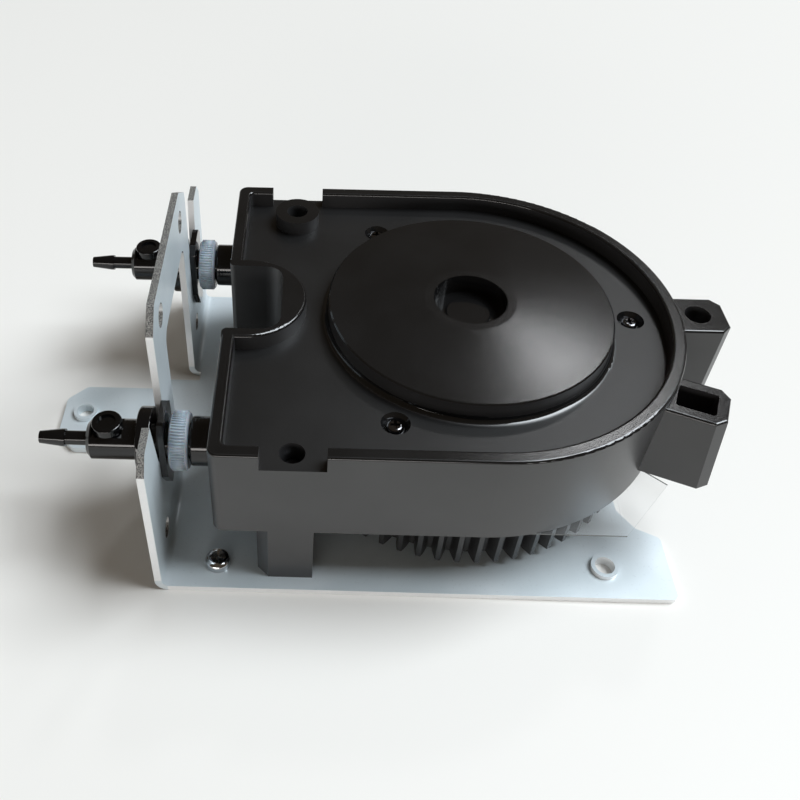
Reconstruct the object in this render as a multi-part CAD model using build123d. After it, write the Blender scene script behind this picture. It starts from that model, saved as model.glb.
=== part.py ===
from build123d import *
from math import acos, atan, cos, degrees, pi, radians, sin, sqrt, tan
import os

# Peristaltic pump head on its sheet-steel bracket.
# Millimetres. The origin is the rotor axis at the underside of the base plate.
# +Z points up, -X points to the two tube fittings, -Y is the front.

# ---- housing ----
HOUSING_HALF = 44.8      # half width, and radius of the round end
CROWN_X = 1.2            # centre of the round end
HOUSING_LEFT = -53.8     # outside of the end wall with the ports
HOUSING_BOTTOM = 18.0
RIM_TOP = 41.5
RIM_HEIGHT = 4.0         # rim above the deck
RIM_WIDTH = 2.9
RIM_ROUND = 0.6
DECK = 2.5               # thickness of the deck
WALL = 2.9
CORNER = 2.2
DISC_RADIUS = HOUSING_HALF - 13.8   # raised disc over the rotor
DISC_RISE = 4.8          # disc edge above the deck
DISC_CROWN = 0.9         # extra height of the domed middle
DISC_EDGE = 0.3
DISC_FOOT = 1.5          # fillet at the foot of the disc
DISC_WALL = 2.6
HUB_RADIUS = 8.0         # recess over the shaft end
HUB_DEPTH = 4.6
HUB_SKIN = 1.5           # floor of the recess
HUB_POST = 5.0           # radius of the low post on that floor
HUB_POST_HEIGHT = 0.7
NOTCH_Y = 1.2            # middle of the open slot in the end wall
NOTCH_RADIUS = 10.7
NOTCH_DEPTH = 12.5       # length of the slot
NOTCH_WALL = 2.6         # wall at the slot's two sides
NOTCH_END_WALL = 5.4     # thicker wall at the slot's round end
NOTCH_CORNER = 4.2       # inner corners of the slot
NOTCH_MOUTH = 1.2        # rounding of the slot's mouth
FRONT_NOTCH = (HOUSING_LEFT + 9.8, HOUSING_LEFT + 22.7)
REAR_NOTCH = (HOUSING_LEFT + 8.6, HOUSING_LEFT + 21.2)

# ---- legs and long screws ----
FRONT_SCREW = (HOUSING_LEFT + 16.0, 4.4 - HOUSING_HALF)
REAR_SCREW = (HOUSING_LEFT + 15.0, HOUSING_HALF - 9.9)
REAR_BOSS = 5.35         # radius of the raised boss at the rear notch
REAR_BOSS_TOP = RIM_TOP - 0.5
LEG_LEFT = HOUSING_LEFT + 8.8
LEG_RIGHT = HOUSING_LEFT + 20.6
LEG_DEPTH = 9.2
LEG_BEVEL = 2.4
BACK_LEG = (-15.0, -3.0)  # plain third leg at the back
LONG_SCREW = 1.5         # M3 shank radius
LONG_HEAD = 2.4
LONG_HEAD_HEIGHT = 1.9
LONG_SEAT = RIM_TOP - 9.5  # height of the seat under the head
SCREW_TUNNEL = LONG_HEAD + 0.15  # radius of the tunnel above the head
SCREW_COLUMN = LONG_SCREW + 1.25  # radius of the column round the shank

# ---- mounting ears at the round end ----
EAR_END = CROWN_X + HOUSING_HALF + 10.3
EAR_HALF = 5.6
EAR_Y = -0.5
EAR_TOP = RIM_TOP - 0.9
EAR_HOLE = 2.8
EAR_HOLE_X = EAR_END - 6.2
EAR_BEVEL = 2.0
SOCKET_TURN = -22.5      # degrees about Z
SOCKET_END = HOUSING_HALF + 11.0  # distance of the outer face from the axis
SOCKET_MID = -7.1        # sideways place of the socket
SOCKET_WIDTH = 10.7
SOCKET_WALL = 2.3
SOCKET_LENGTH = 7.8      # opening along the radius
SOCKET_DEPTH = 14.0
SOCKET_TOP = RIM_TOP - 2.0
SOCKET_BOTTOM = HOUSING_BOTTOM + 4.0
SOCKET_DRAFT = 5.0       # degrees by which the block widens downwards

# ---- tube ----
PORT_Y = HOUSING_HALF - 15.3   # half the distance between the tube legs
PORT_Z = HOUSING_BOTTOM + 9.7
TUBE_OUTER = 2.5
TUBE_INNER = 1.5
TUBE_CLEARANCE = 0.1     # between tube and race
ROLLER_GAP = 0.3         # between relaxed tube and rollers

# ---- fittings and ports ----
NECK = TUBE_OUTER + 1.2  # threaded neck of a fitting
SLOT_CLEARANCE = 0.5
SLOT_HALF = NECK + SLOT_CLEARANCE
FLANGE_X = HOUSING_LEFT - 12.8  # outer face of the upright flange
COLLAR = NECK + 3.3
COLLAR_LENGTH = 3.0
BODY = NECK + 0.55
BODY_END = FLANGE_X - 13.7
BARB_TIP = BODY_END - 10.3
BARB_STEP = BARB_TIP + 5.4  # back of the barb
BARB = 1.85              # radius at the crest of the barb
BARB_LAND = 0.8
BARB_SHANK = 1.5
BARB_NOSE = 1.3
BARB_BORE = 0.9
PLATE_HALF = SLOT_HALF + 1.0  # clamp plate behind the flange
PLATE_UP = 8.6
PLATE_DOWN = 11.5
PLATE_THICK = 1.4
NUT = NECK + 2.6
NUT_LENGTH = 3.9
NUT_RIBS = 36
THREAD_CLEARANCE = 0.08
PORT_OUTER = NECK + 1.5
PORT_SPIGOT = TUBE_OUTER + 1.3  # part that passes the end wall
PORT_INSIDE = 1.6        # how far the spigot stands inside
NECK_END = HOUSING_LEFT - 3.0
SEAL_THICK = 0.8
PLUG_X = FLANGE_X - 9.4
PLUG = 3.15
PLUG_FLAT = PORT_Z + 3.3
PLUG_TOP = PLUG_FLAT + 2.2
PLUG_SHANK = 1.5

# ---- sheet-steel bracket ----
SHEET = 1.5              # sheet thickness
BEND = 1.5               # inside radius of the fold
BASE_HALF = HOUSING_HALF + 3.0    # half the depth of the base plate
BASE_RIGHT = CROWN_X + HOUSING_HALF - 1.3  # end of the two base arms
BASE_WAIST = BASE_RIGHT - 8.2     # end of the plate between the arms
ARM_INNER = BASE_HALF - 17.3      # inner edge of each base arm
TAB_TOP = PORT_Z + 13.5  # top of the two low outer tabs
TAB_CUT = (3.0, 3.5)     # cut corner of the outer tabs
SLOT_FLARE = 8.9         # how far the slot opens outwards at its top
BRIDGE_TOP = TAB_TOP + 16.0       # top of the tall middle bridge
BRIDGE_BOTTOM = BRIDGE_TOP - 14.2
BRIDGE_HALF = PORT_Y - SLOT_HALF  # half the width of the bridge
BRIDGE_FRONT_CUT = (4.4, 4.6)
BRIDGE_REAR_CUT = (7.8, 5.0)
WINDOW_FRONT = 11.3 - BRIDGE_HALF  # front edge of the window under the bridge
WINDOW_REAR = BRIDGE_HALF - 8.4
WINDOW_RADIUS = 3.0
FOOT_LENGTH = 30.0       # foot bent out of the window
FOOT_HALF = 10.4
FOOT_CORNER = 4.4
FOOT_ROOT_HALF = FOOT_HALF + 3.4  # half width where the foot leaves the base plate
FOOT_ROOT = 5.0          # length of the wide root outside the flange
BURR_HOLE = 2.1          # radius of a burred hole
BURR_WALL = 0.85
BURR_HEIGHT = 1.1
FOOT_HOLE = (FLANGE_X - FOOT_LENGTH + 5.6, 1.2)
BASE_HOLE = (BASE_RIGHT - 14.4, 7.4 - BASE_HALF)
BRIDGE_HOLE = 2.6        # radius of the two holes in the bridge
BRIDGE_HOLE_Y = BRIDGE_HALF - 9.3
BRIDGE_HOLE_Z = BRIDGE_TOP - 6.9
LOW_HOLE = 2.3           # radius of the low holes in the flange
LOW_HOLES = ((11.4 - BASE_HALF, 6.6), (BASE_HALF - 20.8, 10.4))
PLATE_SCREW = (HOUSING_LEFT + 0.1, 6.3 - BASE_HALF)
PLATE_SCREW_HEAD = 2.8

# ---- drive gear ----
MODULE = 1.3
PRESSURE_ANGLE = 20.0
GEAR_CLEARANCE = 0.3     # between the teeth and the back leg
TEETH = int(2 * (HOUSING_HALF - WALL - GEAR_CLEARANCE) / MODULE - 2 + 0.001)
GEAR_BOTTOM = SHEET + 2.5
GEAR_TOP = HOUSING_BOTTOM - 2.5
GEAR_RIM = 3.0
GEAR_WEB = 3.0
GEAR_HOLES = 6
GEAR_HOLE = 6.5

# ---- rotor and shaft ----
SHAFT = 4.0
SHAFT_FOOT = 1.6         # shaft below the gear
GEAR_HUB = SHAFT + 5.0
BUSH_WALL = 1.0
BUSH_FLANGE_RIM = 1.4
BUSH_FLANGE_THICK = 1.0
FIT = 0.03               # radial clearance of running fits
SEAT = 0.02              # radial clearance of fixed fits
COVER = 2.5
COVER_GAP = 0.15
LOWER_BUSH = 5.2
UPPER_BUSH = 3.2
ROLLER = 7.2
ROLLER_COUNT = 3
PLATE = 2.0
PLATE_GAP = 0.3          # side clearance of a roller
ROTOR_LIFT = 0.5         # rotor above the cover's hub
ROLLER_PIN = 2.0
CROSS_PIN = 1.25
CLIP_RING = 2.4
CLIP_THICK = 0.8
GROOVE = 0.8
WASHER = 0.4
WASHER_GAP = 0.05
RACE_WALL = 3.6
RACE_FLANGE = 2.3
RACE_LEG_END = -32.5

# ---- small screws ----
HEAD_ROUND = 0.6         # rounding of a pan head, as a share of its height
DECK_SCREW_TURN = 1.2    # degrees by which the three deck screws are turned about Z
DECK_SCREW_HEAD = 1.75
DECK_SCREW_HEAD_HEIGHT = 1.2
DECK_SCREW_SHANK = 1.25
DECK_FUNNEL = 3.0        # radius of the funnel over a deck screw, at the deck
DECK_FUNNEL_DEPTH = 1.6
COVER_BOSS = 3.4
COVER_SCREW_HEAD = 2.2
COVER_SCREW_REACH = 6.3  # above the cover

# ---- clear film under the housing ----
FILM = 0.35
FILM_GAP = 0.03
FILM_LEFT = -28.0
FILM_HALF = HOUSING_HALF - 1.3
FILM_LUG = (CROWN_X + HOUSING_HALF - 3.8, HOUSING_HALF - 14.8)  # outermost corner
FILM_LUG_SLOPE = 0.87
FILM_HOLE = 14.0

# ---- derived places ----
DECK_TOP = RIM_TOP - RIM_HEIGHT
DECK_UNDER = DECK_TOP - DECK
FLANGE_IN = FLANGE_X + SHEET
NOTCH_END = HOUSING_LEFT + NOTCH_DEPTH
NUT_START = FLANGE_IN + PLATE_THICK + 0.6
PORT_START = NUT_START + NUT_LENGTH + 0.4
COVER_BOTTOM = HOUSING_BOTTOM + 0.2
COVER_TOP = COVER_BOTTOM + COVER
BUSH_OUTER = SHAFT + FIT + BUSH_WALL
BUSH_FLANGE = BUSH_OUTER + BUSH_FLANGE_RIM
COVER_HUB = BUSH_OUTER + 3.0
THRUST_BOTTOM = GEAR_TOP + WASHER_GAP
THRUST_TOP = THRUST_BOTTOM + WASHER
BUSH_BOTTOM = THRUST_TOP + WASHER_GAP
COVER_HUB_BOTTOM = BUSH_BOTTOM + BUSH_FLANGE_THICK
DISC_TOP = DECK_TOP + DISC_RISE
HUB_FLOOR = DISC_TOP + DISC_CROWN - HUB_DEPTH
BORE_TOP = HUB_FLOOR - HUB_SKIN
SHAFT_TOP = BORE_TOP - 0.3
UPPER_BUSH_BOTTOM = BORE_TOP - 0.1 - UPPER_BUSH
ROTOR_BOTTOM = max(COVER_TOP, BUSH_BOTTOM + LOWER_BUSH) + ROTOR_LIFT
ROTOR_TOP = UPPER_BUSH_BOTTOM - ROTOR_LIFT
ROLLER_BOTTOM = ROTOR_BOTTOM + PLATE + PLATE_GAP
ROLLER_TOP = ROTOR_TOP - PLATE - PLATE_GAP
ROLLER_REACH = PORT_Y - TUBE_OUTER - ROLLER_GAP
ROLLER_ORBIT = ROLLER_REACH - ROLLER
ROTOR_HUB = ROLLER_ORBIT - ROLLER - 3.3
PLATE_RADIUS = ROLLER_REACH - 1.3
RACE_RADIUS = PORT_Y + TUBE_OUTER + TUBE_CLEARANCE
RACE_FLANGE_IN = RACE_RADIUS - 3.6
RACE_FLANGE_OUT = RACE_RADIUS + 7.3
DECK_SCREW_RADIUS = RACE_RADIUS + 4.4
COVER_SCREW_IN = WALL + COVER_BOSS - 0.3  # screw axis from the housing's outside
FILM_TOP = HOUSING_BOTTOM - FILM_GAP


def rod(x, y, bottom, top, radius):
    """A vertical cylinder between two heights."""
    return Pos(x, y, bottom) * Cylinder(radius, top - bottom, align=(Align.CENTER, Align.CENTER, Align.MIN))


def lying_rod(start, end, y, z, radius):
    """A cylinder along X between two places."""
    across = Cylinder(radius, end - start, align=(Align.CENTER, Align.CENTER, Align.MIN))
    return Pos(start, y, z) * Rot(0, 90, 0) * across


def block(low, high):
    """A box between its lowest and highest corners."""
    size = [b - a for a, b in zip(low, high)]
    return Pos(*low) * Box(*size, align=(Align.MIN, Align.MIN, Align.MIN))


def ring_of(count, radius, first=0.0):
    """Evenly spaced places on a circle round the axis."""
    angles = [radians(first + 360.0 * i / count) for i in range(count)]
    return [(radius * cos(a), radius * sin(a)) for a in angles]


def d_shape(inset, bottom, top, corner):
    """The housing's outline: a square end at the ports and a round end, drawn in by inset."""
    half = HOUSING_HALF - inset
    left = HOUSING_LEFT + inset
    square = block((left, -half, bottom), (CROWN_X, half, top))
    body = square + rod(CROWN_X, 0, bottom, top, half)
    corners = body.edges().filter_by(Axis.Z).group_by(Axis.X)[0]
    return fillet(corners, corner)


# ---- bracket ----

def flange_mask():
    """The outline of the upright flange, as a slab that keeps what it covers."""
    tab_y, tab_z = TAB_CUT
    front_y, front_z = BRIDGE_FRONT_CUT
    rear_y, rear_z = BRIDGE_REAR_CUT
    outline = Polyline(
        (-BASE_HALF, 0),
        (-BASE_HALF, TAB_TOP - tab_z),
        (-BASE_HALF + tab_y, TAB_TOP),
        (-BRIDGE_HALF, TAB_TOP),
        (-BRIDGE_HALF, BRIDGE_TOP - front_z),
        (-BRIDGE_HALF + front_y, BRIDGE_TOP),
        (BRIDGE_HALF - rear_y, BRIDGE_TOP),
        (BRIDGE_HALF, BRIDGE_TOP - rear_z),
        (BRIDGE_HALF, TAB_TOP),
        (BASE_HALF - tab_y, TAB_TOP),
        (BASE_HALF, TAB_TOP - tab_z),
        (BASE_HALF, 0),
        close=True,
    )
    face = Plane.YZ * make_face(outline)
    slab = Pos(FLANGE_X, 0, 0) * extrude(face, SHEET + BEND, dir=(1, 0, 0))
    corners = slab.edges().filter_by(Axis.X).filter_by(lambda e: e.center().Z > TAB_TOP + 1)
    slab = fillet(corners, 2.0)
    corners = slab.edges().filter_by(Axis.X).filter_by(lambda e: 1 < e.center().Z < TAB_TOP + 1)
    return fillet(corners.filter_by(lambda e: abs(e.center().Y) > PORT_Y), 1.2)


def fitting_slot(side):
    """The open slot that a fitting's neck drops into, wider towards the outside."""
    y = side * PORT_Y
    low = (FLANGE_X - SHEET, y - SLOT_HALF, PORT_Z)
    high = (FLANGE_IN + SHEET, y + SLOT_HALF, PORT_Z + TAB_TOP)
    slot = block(low, high) + lying_rod(low[0], high[0], y, PORT_Z, SLOT_HALF)
    flare = Polyline(
        (y, PORT_Z - SLOT_HALF),
        (y + side * SLOT_FLARE * 0.45, PORT_Z - SLOT_HALF * 0.8),
        (y + side * SLOT_FLARE * 0.66, PORT_Z + 0.5),
        (y + side * SLOT_FLARE, TAB_TOP + 1),
        (y, TAB_TOP + 1),
        close=True,
    )
    face = Plane.YZ * make_face(flare)
    return slot + Pos(low[0], 0, 0) * extrude(face, high[0] - low[0], dir=(1, 0, 0))


def base_outline():
    """The base plate with its two arms, as seen from above."""
    low = -BASE_HALF
    step = BASE_RIGHT - BASE_WAIST
    front = [
        (FLANGE_X + SHEET + BEND, low),
        (BASE_RIGHT, low),
        (BASE_RIGHT, -ARM_INNER - 0.2 * step),
        (BASE_RIGHT - 0.6 * step, -ARM_INNER + 0.1 * step),
        (BASE_WAIST, -ARM_INNER + 0.7 * step),
    ]
    rear = [(x, -y) for x, y in reversed(front)]
    plate = extrude(make_face(Polyline(*front, *rear, close=True)), SHEET)
    return fillet(plate.edges().filter_by(Axis.Z).group_by(Axis.X)[-1], 1.5)


def foot():
    """The flat foot bent out of the window, in line with the base plate."""
    inside = FLANGE_IN + BEND
    arm = block((FLANGE_X - FOOT_LENGTH, -FOOT_HALF, 0), (inside, FOOT_HALF, SHEET))
    arm = chamfer(arm.edges().filter_by(Axis.Z).group_by(Axis.X)[0], FOOT_CORNER)
    arm = fillet(arm.edges().filter_by(Axis.Z).sort_by(Axis.X)[:4], FOOT_CORNER / 2)
    root = block((FLANGE_X - FOOT_ROOT, -FOOT_ROOT_HALF, 0), (inside, FOOT_ROOT_HALF, SHEET))
    return arm + root


def burred_hole(plate, place):
    """A hole whose metal is drawn up into a short collar."""
    x, y = place
    collar = rod(x, y, 0, SHEET + BURR_HEIGHT, BURR_HOLE + BURR_WALL)
    return plate + collar - rod(x, y, -1, SHEET + BURR_HEIGHT + 1, BURR_HOLE)


def base_bracket():
    """Base plate, folded flange with slots and window, and the foot: one piece of sheet."""
    section = Polyline(
        (BASE_RIGHT, 0),
        (FLANGE_X, 0),
        (FLANGE_X, BRIDGE_TOP),
        (FLANGE_IN, BRIDGE_TOP),
        (FLANGE_IN, SHEET),
        (BASE_RIGHT, SHEET),
        close=True,
    )
    face = Plane.XZ * make_face(section)
    sheet = extrude(face, BASE_HALF, both=True)
    folds = sheet.edges().filter_by(Axis.Y)
    inner = folds.filter_by(lambda e: abs(e.center().X - FLANGE_IN) < 0.01 and e.center().Z < SHEET + 0.01)
    outer = folds.filter_by(lambda e: abs(e.center().X - FLANGE_X) < 0.01 and e.center().Z < 0.01)
    sheet = fillet(inner, BEND)
    sheet = fillet(sheet.edges().filter_by(lambda e: e.center() == outer[0].center()), BEND + SHEET)
    plate = sheet & (flange_mask() + base_outline())
    for side in (-1, 1):
        plate = plate - fitting_slot(side)
    window = block((FLANGE_X - 1, WINDOW_FRONT, -1), (FLANGE_IN + BEND, WINDOW_REAR, BRIDGE_BOTTOM))
    window = fillet(window.edges().filter_by(Axis.X).group_by(Axis.Z)[-1], WINDOW_RADIUS)
    plate = plate - window + foot()
    for y in (-BRIDGE_HOLE_Y, BRIDGE_HOLE_Y):
        plate = plate - lying_rod(FLANGE_X - 1, FLANGE_IN + 1, y, BRIDGE_HOLE_Z, BRIDGE_HOLE)
    for y, z in LOW_HOLES:
        plate = plate - lying_rod(FLANGE_X - 1, FLANGE_IN + 1, y, z, LOW_HOLE)
    for place in (FOOT_HOLE, BASE_HOLE):
        plate = burred_hole(plate, place)
    for x, y in (FRONT_SCREW, REAR_SCREW, PLATE_SCREW):
        plate = plate - rod(x, y, -1, SHEET + 1, LONG_SCREW + FIT)
    return plate


# ---- housing ----

def notch_shape(radius, end, bottom, top):
    """A slot from the end wall inwards, with a round end."""
    centre = end - radius
    mouth = block((HOUSING_LEFT - 1, NOTCH_Y - radius, bottom), (centre, NOTCH_Y + radius, top))
    return mouth + rod(centre, NOTCH_Y, bottom, top, radius)


def notch_room():
    """The room inside the slot, with rounded inner corners and a rounded mouth."""
    low, high = HOUSING_BOTTOM - 1, RIM_TOP + 1
    near, far = NOTCH_Y - NOTCH_RADIUS, NOTCH_Y + NOTCH_RADIUS
    room = block((HOUSING_LEFT - 1, near, low), (NOTCH_END, far, high))
    room = fillet(room.edges().filter_by(Axis.Z).group_by(Axis.X)[-1], NOTCH_CORNER)
    for y, side in ((near, -1), (far, 1)):
        inner = HOUSING_LEFT + NOTCH_MOUTH
        corner = (HOUSING_LEFT - 1, min(y, y + side * NOTCH_MOUTH), low)
        lip = block(corner, (inner, max(y, y + side * NOTCH_MOUTH), high))
        room = room + (lip - rod(inner, y + side * NOTCH_MOUTH, low, high, NOTCH_MOUTH))
    return room


def raised_disc():
    """The domed disc over the rotor, with a rounded foot."""
    top = DISC_TOP
    outer = DISC_RADIUS + DISC_FOOT
    foot = ThreePointArc(
        (DISC_RADIUS, DECK_TOP + DISC_FOOT),
        (outer - DISC_FOOT * sqrt(0.5), DECK_TOP + DISC_FOOT * (1 - sqrt(0.5))),
        (outer, DECK_TOP),
    )
    profile = Polyline(
        (outer, DECK_TOP),
        (outer, DECK_UNDER),
        (0, DECK_UNDER),
        (0, top + DISC_CROWN),
        (HUB_RADIUS + 2, top + DISC_CROWN),
        (DISC_RADIUS - DISC_EDGE, top),
        (DISC_RADIUS, top - DISC_EDGE),
        (DISC_RADIUS, DECK_TOP + DISC_FOOT),
    )
    return revolve(Plane.XZ * make_face(foot + profile), Axis.Z)


def disc_hollow():
    """Room for the rotor under the disc, the recess in its middle and the blind bore of the bush."""
    room = rod(0, 0, DECK_UNDER - 1, DISC_TOP - DISC_WALL, DISC_RADIUS - DISC_WALL)
    boss = rod(0, 0, UPPER_BUSH_BOTTOM, DISC_TOP, max(HUB_RADIUS, BUSH_OUTER) + 1.8)
    recess = rod(0, 0, HUB_FLOOR, DISC_TOP + 5, HUB_RADIUS)
    post = chamfer(rod(0, 0, HUB_FLOOR - 1, HUB_FLOOR + HUB_POST_HEIGHT, HUB_POST).edges(), 0.3)
    bore = rod(0, 0, DECK_UNDER - 5, BORE_TOP, BUSH_OUTER + SEAT)
    return room - boss + (recess - post) + bore


def mounting_ear():
    """The tall ear with the through hole, at the round end."""
    low = (CROWN_X, EAR_Y - EAR_HALF, HOUSING_BOTTOM)
    ear = block(low, (EAR_END, EAR_Y + EAR_HALF, EAR_TOP))
    ear = chamfer(ear.edges().filter_by(Axis.Z).group_by(Axis.X)[-1], EAR_BEVEL)
    return fillet(ear.faces().sort_by(Axis.Z)[-1].edges(), RIM_ROUND)


def socket_ear():
    """The block with the rectangular blind socket, at an angle and wider towards its foot."""
    half = SOCKET_WIDTH / 2
    root = HOUSING_HALF - 2 * SOCKET_LENGTH
    outline = Polyline(
        (root, SOCKET_MID - half),
        (SOCKET_END, SOCKET_MID - half),
        (SOCKET_END, SOCKET_MID + half),
        (root, SOCKET_MID + half),
        close=True,
    )
    top = Pos(0, 0, SOCKET_TOP) * make_face(outline)
    height = SOCKET_TOP - SOCKET_BOTTOM
    ear = extrude(top, height, dir=(0, 0, -1), taper=-SOCKET_DRAFT)
    corners = ear.edges().filter_by(lambda e: e.length > height and e.center().X > HOUSING_HALF)
    ear = chamfer(corners, EAR_BEVEL)
    ear = fillet(ear.faces().sort_by(Axis.Z)[-1].edges(), RIM_ROUND)
    return Rot(0, 0, SOCKET_TURN) * ear


def socket_hole():
    """The hollow of the socket."""
    end = SOCKET_END - SOCKET_WALL
    half = SOCKET_WIDTH / 2 - SOCKET_WALL
    low = (end - SOCKET_LENGTH, SOCKET_MID - half, SOCKET_TOP - SOCKET_DEPTH)
    hole = block(low, (end, SOCKET_MID + half, SOCKET_TOP + 1))
    hole = fillet(hole.edges().filter_by(Axis.Z), 0.6)
    return Rot(0, 0, SOCKET_TURN) * hole


def leg(low_y, high_y):
    """One leg between the base plate and the housing."""
    post = block((LEG_LEFT, low_y, SHEET), (LEG_RIGHT, high_y, HOUSING_BOTTOM + 2))
    return chamfer(post.edges().filter_by(Axis.Z).group_by(Axis.X)[0], LEG_BEVEL)


def cover_screw_places():
    """Two screws at the round end and two beside the ports."""
    radius = HOUSING_HALF - COVER_SCREW_IN
    round_end = [(CROWN_X + x, y) for x, y in ring_of(4, radius, 45) if x > 0]
    left = HOUSING_LEFT + COVER_SCREW_IN
    return round_end + [(left, radius), (left, -radius)]


def housing_shell():
    """Walls, rim, deck and ears, open underneath."""
    shell = d_shape(0, HOUSING_BOTTOM, RIM_TOP, CORNER)
    shell = shell - d_shape(RIM_WIDTH, DECK_TOP, RIM_TOP + 1, 1.0)
    rim = shell.faces().filter_by(Axis.Z).sort_by(Axis.Z)[-1]
    shell = fillet(rim.edges(), RIM_ROUND)
    ears = mounting_ear() + socket_ear() - d_shape(RIM_WIDTH, DECK_TOP, RIM_TOP + 1, 1.0)
    shell = shell + ears - socket_hole()
    return shell - d_shape(WALL, HOUSING_BOTTOM - 1, DECK_UNDER, 1.0)


def pump_housing():
    """The moulded housing with disc, slot, columns, legs and ears."""
    body = housing_shell()
    outer_radius = NOTCH_RADIUS + NOTCH_WALL
    collar = notch_shape(outer_radius, NOTCH_END + NOTCH_END_WALL, HOUSING_BOTTOM, RIM_TOP)
    collar = fillet(collar.faces().sort_by(Axis.Z)[-1].edges(), RIM_ROUND)
    body = body + (collar & d_shape(0, HOUSING_BOTTOM, RIM_TOP, CORNER))
    body = body + raised_disc() - disc_hollow()
    body = body - rod(EAR_HOLE_X, EAR_Y, HOUSING_BOTTOM - 1, EAR_TOP + 1, EAR_HOLE)
    for x, y in (FRONT_SCREW, REAR_SCREW):
        body = body + rod(x, y, HOUSING_BOTTOM, DECK_TOP, SCREW_COLUMN)
        body = body + rod(x, y, LONG_SEAT - 1, DECK_TOP, SCREW_TUNNEL + 1.2)
    body = body + rod(*REAR_SCREW, DECK_UNDER, REAR_BOSS_TOP, REAR_BOSS)
    for x, y in cover_screw_places():
        body = body + rod(x, y, COVER_TOP + 0.05, DECK_UNDER + 0.5, COVER_BOSS)
    body = body + leg(-HOUSING_HALF, -HOUSING_HALF + LEG_DEPTH)
    body = body + leg(REAR_SCREW[1] - SCREW_COLUMN - 1.2, HOUSING_HALF)
    start, end = BACK_LEG
    body = body + block((start, HOUSING_HALF - WALL, SHEET), (end, HOUSING_HALF, HOUSING_BOTTOM + 1))
    return body - housing_cuts()


def deck_screw_places():
    return ring_of(3, DECK_SCREW_RADIUS, DECK_SCREW_TURN)


def funnel(x, y):
    """The tapered pit round a deck screw's head."""
    low = DECK_SCREW_HEAD + 0.15
    cone = Cone(low, DECK_FUNNEL, DECK_FUNNEL_DEPTH, align=(Align.CENTER, Align.CENTER, Align.MIN))
    return Pos(x, y, DECK_TOP - DECK_FUNNEL_DEPTH) * cone + rod(x, y, DECK_TOP - 0.01, DECK_TOP + 1, DECK_FUNNEL)


def housing_cuts():
    """Slot, rim notches, screw tunnels and port holes."""
    inner = notch_room()
    front, rear = -HOUSING_HALF, HOUSING_HALF
    cuts = [
        inner,
        block((FRONT_NOTCH[0], front - 1, DECK_TOP), (FRONT_NOTCH[1], front + RIM_WIDTH + 1, RIM_TOP + 1)),
        block((REAR_NOTCH[0], rear - RIM_WIDTH - 1, DECK_TOP), (REAR_NOTCH[1], rear + 1, RIM_TOP + 1))
        - rod(*REAR_SCREW, DECK_TOP, REAR_BOSS_TOP, REAR_BOSS),
    ]
    for x, y in (FRONT_SCREW, REAR_SCREW):
        cuts.append(rod(x, y, SHEET - 1, DECK_TOP, LONG_SCREW + 0.2))
        cuts.append(rod(x, y, LONG_SEAT, RIM_TOP + 1, SCREW_TUNNEL))
    for x, y in deck_screw_places():
        cuts.append(funnel(x, y))
        cuts.append(rod(x, y, DECK_UNDER - 1, DECK_TOP, DECK_SCREW_SHANK + SEAT))
    for x, y in cover_screw_places():
        cuts.append(rod(x, y, COVER_TOP - 1, COVER_TOP + COVER_SCREW_REACH + 0.5, DECK_SCREW_SHANK + SEAT))
    for side in (-1, 1):
        wall_end = HOUSING_LEFT + WALL + 1
        cuts.append(lying_rod(HOUSING_LEFT - 1, wall_end, side * PORT_Y, PORT_Z, PORT_SPIGOT + SEAT))
        cuts.append(lying_rod(HOUSING_LEFT, 0, side * PORT_Y, PORT_Z, TUBE_OUTER + TUBE_CLEARANCE))
    together = cuts[0]
    for cut in cuts[1:]:
        together = together + cut
    return together


def bottom_cover():
    """The plate that closes the housing from below and carries the lower bush."""
    plate = d_shape(WALL + COVER_GAP, COVER_BOTTOM, COVER_TOP, 1.0)
    outer_radius = NOTCH_RADIUS + NOTCH_WALL + COVER_GAP
    end = NOTCH_END + NOTCH_END_WALL + COVER_GAP
    plate = plate - notch_shape(outer_radius, end, COVER_BOTTOM - 1, COVER_TOP + 1)
    low, high = COVER_BOTTOM - 1, COVER_TOP + 1
    leg_room = LEG_DEPTH + COVER_GAP
    left, right = LEG_LEFT - COVER_GAP, LEG_RIGHT + COVER_GAP
    plate = plate - block((left, -HOUSING_HALF, low), (right, -HOUSING_HALF + leg_room, high))
    rear_leg = REAR_SCREW[1] - SCREW_COLUMN - 1.2 - COVER_GAP
    plate = plate - block((left, rear_leg, low), (right, HOUSING_HALF, high))
    plate = plate + rod(0, 0, COVER_HUB_BOTTOM, COVER_TOP, COVER_HUB)
    plate = plate - rod(0, 0, COVER_HUB_BOTTOM - 1, COVER_TOP + 1, BUSH_OUTER + SEAT)
    for x, y in cover_screw_places():
        plate = plate - rod(x, y, low, high, DECK_SCREW_SHANK + 0.15)
        plate = plate - rod(x, y, low, COVER_BOTTOM + 1.3, COVER_SCREW_HEAD + 0.15)
    return plate


# ---- tube and race ----

def u_band(inner, outer, bottom, top, leg_end):
    """A half ring round the axis with two straight legs towards the ports."""
    half = block((0, -outer, bottom), (outer, outer, top))
    bow = (rod(0, 0, bottom, top, outer) - rod(0, 0, bottom - 1, top + 1, inner)) & half
    band = bow
    for side in (-1, 1):
        low_y, high_y = sorted((side * inner, side * outer))
        band = band + block((leg_end, low_y, bottom), (0.01, high_y, top))
    return band


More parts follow.
